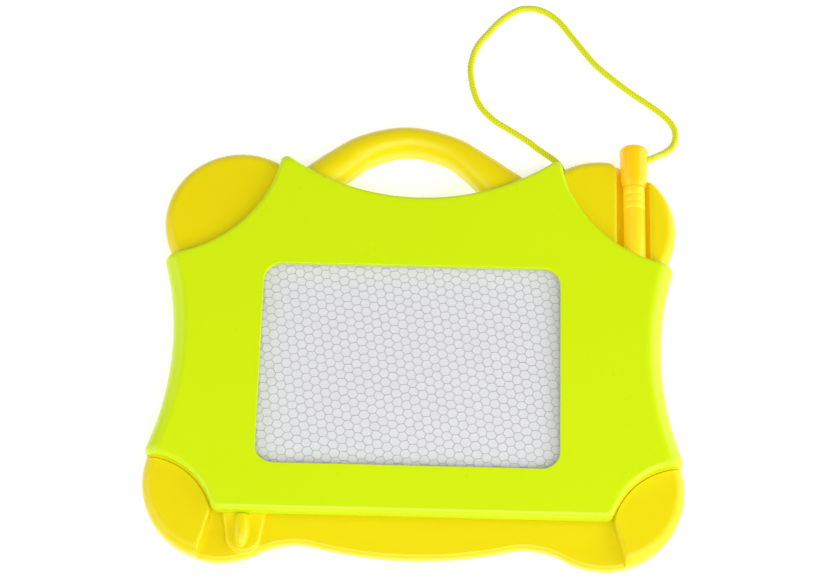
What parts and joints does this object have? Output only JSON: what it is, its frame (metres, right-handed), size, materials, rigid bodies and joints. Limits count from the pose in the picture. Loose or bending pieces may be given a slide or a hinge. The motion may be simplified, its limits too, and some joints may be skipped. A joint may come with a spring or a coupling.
{
  "type": "magnetic drawing board",
  "caption": "Flat magnetic drawing board with a honeycomb screen in a hollow-sided cover, a carrying handle, a sliding eraser tab and a corded magnet pen.",
  "frame": {"origin": "middle of the board's outline, on the plane of its back", "axes": "+X to the right along the slider's ledge, +Y towards the carrying handle, +Z out of the screen"},
  "size_m": [0.2061, 0.2398, 0.0148],
  "materials": {
    "yellow_abs": "smooth moulded",
    "lime_abs": "smooth moulded",
    "amber_abs": "smooth moulded",
    "clear_pet_film": "clear film",
    "pearl_honeycomb": "cell sheet with thin grey walls",
    "white_pet_film": "white film",
    "double_sided_tape": "adhesive tape",
    "rubber_magnet": "dull black strip",
    "ferrite": "sintered grey",
    "zinc_steel": "zinc plated",
    "cord_yarn": "braided"
  },
  "bodies": {
    "board": {"rear_shell": "yellow_abs", "front_cover": "lime_abs", "screen_tape": "double_sided_tape", "screen_front_film": "clear_pet_film", "honeycomb_core": "pearl_honeycomb", "screen_back_film": "white_pet_film", "pen_cord": "cord_yarn", "cord_knot": "cord_yarn", "case_screw_1": "zinc_steel", "case_screw_2": "zinc_steel", "case_screw_3": "zinc_steel", "case_screw_4": "zinc_steel", "case_screw_5": "zinc_steel", "case_screw_6": "zinc_steel"},
    "eraser": {"eraser_carrier": "yellow_abs", "eraser_magnet": "rubber_magnet", "slider_tab": "yellow_abs"},
    "pen": {"pen_barrel": "amber_abs", "pen_cap": "amber_abs", "pen_nose": "amber_abs", "pen_magnet": "ferrite", "pen_knot": "cord_yarn"}
  },
  "joints": [
    {"name": "eraser_slide", "type": "slide", "parent": "board", "child": "eraser", "axis": [1, 0, 0], "range_m": [0, 0.126]},
    {"name": "pen_slide", "type": "slide", "parent": "board", "child": "pen", "axis": [0, 1, 0], "range_m": [0, 0.052], "deforming": ["pen_cord"]}
  ]
}
